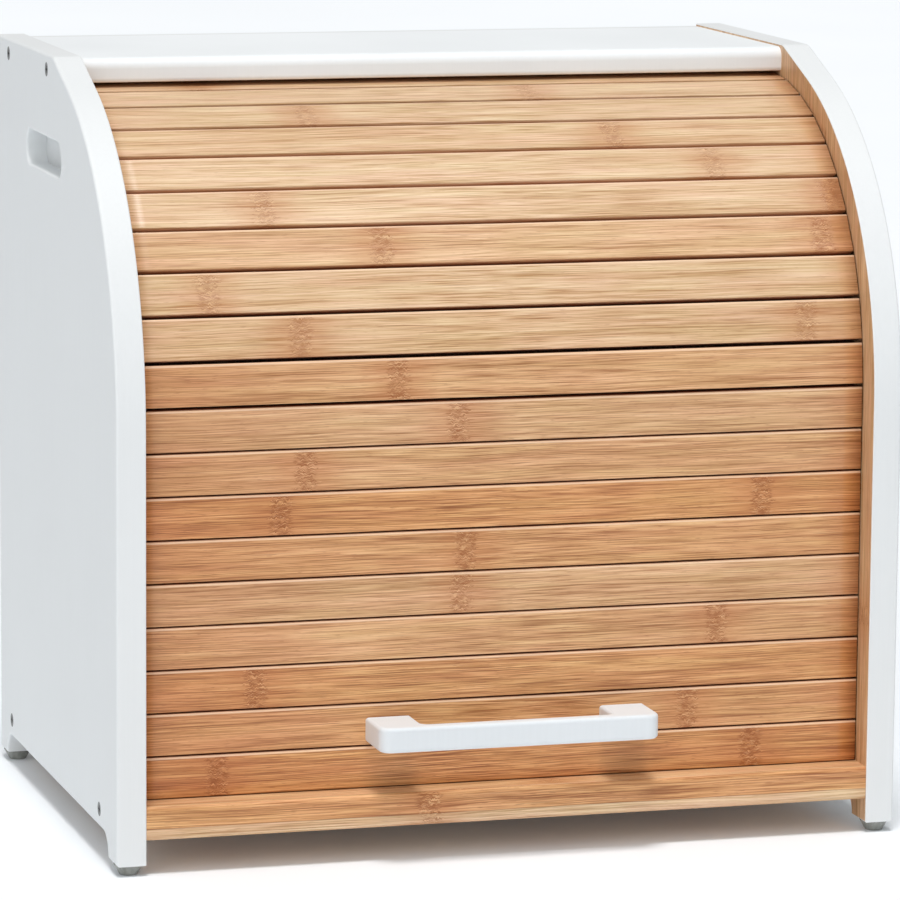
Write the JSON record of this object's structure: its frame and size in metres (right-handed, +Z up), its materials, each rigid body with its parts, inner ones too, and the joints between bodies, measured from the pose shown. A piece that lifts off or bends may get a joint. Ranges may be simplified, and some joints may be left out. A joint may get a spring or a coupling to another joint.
{
  "type": "bread bin",
  "caption": "Countertop bread bin with white side panels, a bamboo roll-up slatted door with a bar handle, an inner shelf and rubber feet.",
  "frame": {"origin": "middle of the whole box in plan, handle included, on the surface that the feet stand on", "axes": "+X to the right seen from the front, +Y from the door to the back, +Z up"},
  "size_m": [0.38, 0.281, 0.366],
  "materials": {
    "white_paint": "bamboo board, white satin paint",
    "bamboo_case": "satin lacquer",
    "bamboo_slats": "satin lacquer",
    "door_cloth": "woven cotton",
    "handle_paint": "white satin paint",
    "screw_steel": "zinc plated",
    "dowel_wood": "plain",
    "foot_rubber": "translucent grey"
  },
  "bodies": {
    "case": {"side_panel_left": "white_paint", "side_panel_right": "white_paint", "base_board": "bamboo_case", "top_panel": "white_paint", "back_panel": "white_paint", "shelf": "bamboo_case", "shelf_batten_left": "bamboo_case", "shelf_batten_right": "bamboo_case", "side_screws_left": "screw_steel", "side_screws_right": "screw_steel", "dowels_left": "dowel_wood", "dowels_right": "dowel_wood", "back_screws": "screw_steel", "batten_screws": "screw_steel", "foot_front_left": "foot_rubber", "foot_front_right": "foot_rubber", "foot_rear_left": "foot_rubber", "foot_rear_right": "foot_rubber"},
    "door_00": {"slat_00": "bamboo_slats", "door_cloth_00": "door_cloth"},
    "door_01": {"slat_01": "bamboo_slats", "door_cloth_01": "door_cloth", "handle": "handle_paint", "handle_screws": "screw_steel"},
    "door_02": {"slat_02": "bamboo_slats", "door_cloth_02": "door_cloth"},
    "door_03": {"slat_03": "bamboo_slats", "door_cloth_03": "door_cloth"},
    "door_04": {"slat_04": "bamboo_slats", "door_cloth_04": "door_cloth"},
    "door_05": {"slat_05": "bamboo_slats", "door_cloth_05": "door_cloth"},
    "door_06": {"slat_06": "bamboo_slats", "door_cloth_06": "door_cloth"},
    "door_07": {"slat_07": "bamboo_slats", "door_cloth_07": "door_cloth"},
    "door_08": {"slat_08": "bamboo_slats", "door_cloth_08": "door_cloth"},
    "door_09": {"slat_09": "bamboo_slats", "door_cloth_09": "door_cloth", "slat_10": "bamboo_slats", "door_cloth_10": "door_cloth"},
    "door_11": {"slat_11": "bamboo_slats", "door_cloth_11": "door_cloth"},
    "door_12": {"slat_12": "bamboo_slats", "door_cloth_12": "door_cloth"},
    "door_13": {"slat_13": "bamboo_slats", "door_cloth_13": "door_cloth"},
    "door_14": {"slat_14": "bamboo_slats", "door_cloth_14": "door_cloth"},
    "door_15": {"slat_15": "bamboo_slats", "door_cloth_15": "door_cloth"},
    "door_16": {"slat_16": "bamboo_slats", "door_cloth_16": "door_cloth"},
    "door_17": {"slat_17": "bamboo_slats", "door_cloth_17": "door_cloth"},
    "door_18": {"slat_18": "bamboo_slats", "door_cloth_18": "door_cloth"}
  },
  "joints": [
    {"name": "door_lift", "type": "slide", "parent": "case", "child": "door_00", "axis": [0, 0, 1], "range_m": [0, 0.1616]},
    {"name": "slat_01_turn", "type": "hinge", "parent": "case", "child": "door_01", "pos_m": [0, 1.58214, 0.13705], "axis": [-1, 0, 0], "range_deg": [0, 5.49]},
    {"name": "slat_02_turn", "type": "hinge", "parent": "case", "child": "door_02", "pos_m": [0, 0.54394, 0.14715], "axis": [-1, 0, 0], "range_deg": [0, 14.21]},
    {"name": "slat_03_turn", "type": "hinge", "parent": "case", "child": "door_03", "pos_m": [0, 0.29502, 0.15725], "axis": [-1, 0, 0], "range_deg": [0, 22.93]},
    {"name": "slat_04_turn", "type": "hinge", "parent": "case", "child": "door_04", "pos_m": [0, 0.18327, 0.16735], "axis": [-1, 0, 0], "range_deg": [0, 31.65]},
    {"name": "slat_05_turn", "type": "hinge", "parent": "case", "child": "door_05", "pos_m": [0, 0.12012, 0.17745], "axis": [-1, 0, 0], "range_deg": [0, 40.37]},
    {"name": "slat_06_turn", "type": "hinge", "parent": "case", "child": "door_06", "pos_m": [0, 0.07994, 0.18755], "axis": [-1, 0, 0], "range_deg": [0, 49.09]},
    {"name": "slat_07_turn", "type": "hinge", "parent": "case", "child": "door_07", "pos_m": [0, 0.05258, 0.19765], "axis": [-1, 0, 0], "range_deg": [0, 57.82]},
    {"name": "slat_08_turn", "type": "hinge", "parent": "case", "child": "door_08", "pos_m": [0, 0.03322, 0.20775], "axis": [-1, 0, 0], "range_deg": [0, 66.54]},
    {"name": "slats_09_10_turn", "type": "hinge", "parent": "case", "child": "door_09", "pos_m": [0, 0.0275, 0.2115], "axis": [-1, 0, 0], "range_deg": [0, 69.78]},
    {"name": "slat_11_turn", "type": "hinge", "parent": "case", "child": "door_11", "pos_m": [0, 0.0264, 0.21316], "axis": [-1, 0, 0], "range_deg": [0, 70.77]},
    {"name": "slat_12_turn", "type": "hinge", "parent": "case", "child": "door_12", "pos_m": [0, 0.02357, 0.21854], "axis": [-1, 0, 0], "range_deg": [0, 73.98]},
    {"name": "slat_13_turn", "type": "hinge", "parent": "case", "child": "door_13", "pos_m": [0, 0.02178, 0.22387], "axis": [-1, 0, 0], "range_deg": [0, 77.19]},
    {"name": "slat_14_turn", "type": "hinge", "parent": "case", "child": "door_14", "pos_m": [0, 0.02097, 0.22901], "axis": [-1, 0, 0], "range_deg": [0, 80.4]},
    {"name": "slat_15_turn", "type": "hinge", "parent": "case", "child": "door_15", "pos_m": [0, 0.02106, 0.23382], "axis": [-1, 0, 0], "range_deg": [0, 83.61]},
    {"name": "slat_16_turn", "type": "hinge", "parent": "case", "child": "door_16", "pos_m": [0, 0.02195, 0.23821], "axis": [-1, 0, 0], "range_deg": [0, 86.82]},
    {"name": "slat_17_turn", "type": "hinge", "parent": "case", "child": "door_17", "pos_m": [0, 0.02354, 0.24207], "axis": [-1, 0, 0], "range_deg": [0, 90.03]},
    {"name": "slat_18_turn", "type": "hinge", "parent": "case", "child": "door_18", "pos_m": [0, 0.02572, 0.24533], "axis": [-1, 0, 0], "range_deg": [0, 93.24]}
  ],
  "couplings": [
    {"joint": "slat_01_turn", "follows": "door_lift", "rad_per_m": 0.59223},
    {"joint": "slat_02_turn", "follows": "door_lift", "rad_per_m": 1.5342},
    {"joint": "slat_03_turn", "follows": "door_lift", "rad_per_m": 2.4762},
    {"joint": "slat_04_turn", "follows": "door_lift", "rad_per_m": 3.4182},
    {"joint": "slat_05_turn", "follows": "door_lift", "rad_per_m": 4.3601},
    {"joint": "slat_06_turn", "follows": "door_lift", "rad_per_m": 5.3021},
    {"joint": "slat_07_turn", "follows": "door_lift", "rad_per_m": 6.2441},
    {"joint": "slat_08_turn", "follows": "door_lift", "rad_per_m": 7.1861},
    {"joint": "slats_09_10_turn", "follows": "door_lift", "rad_per_m": 7.5358},
    {"joint": "slat_11_turn", "follows": "door_lift", "rad_per_m": 7.6432},
    {"joint": "slat_12_turn", "follows": "door_lift", "rad_per_m": 7.9898},
    {"joint": "slat_13_turn", "follows": "door_lift", "rad_per_m": 8.3365},
    {"joint": "slat_14_turn", "follows": "door_lift", "rad_per_m": 8.6832},
    {"joint": "slat_15_turn", "follows": "door_lift", "rad_per_m": 9.0299},
    {"joint": "slat_16_turn", "follows": "door_lift", "rad_per_m": 9.3766},
    {"joint": "slat_17_turn", "follows": "door_lift", "rad_per_m": 9.7233},
    {"joint": "slat_18_turn", "follows": "door_lift", "rad_per_m": 10.07}
  ]
}
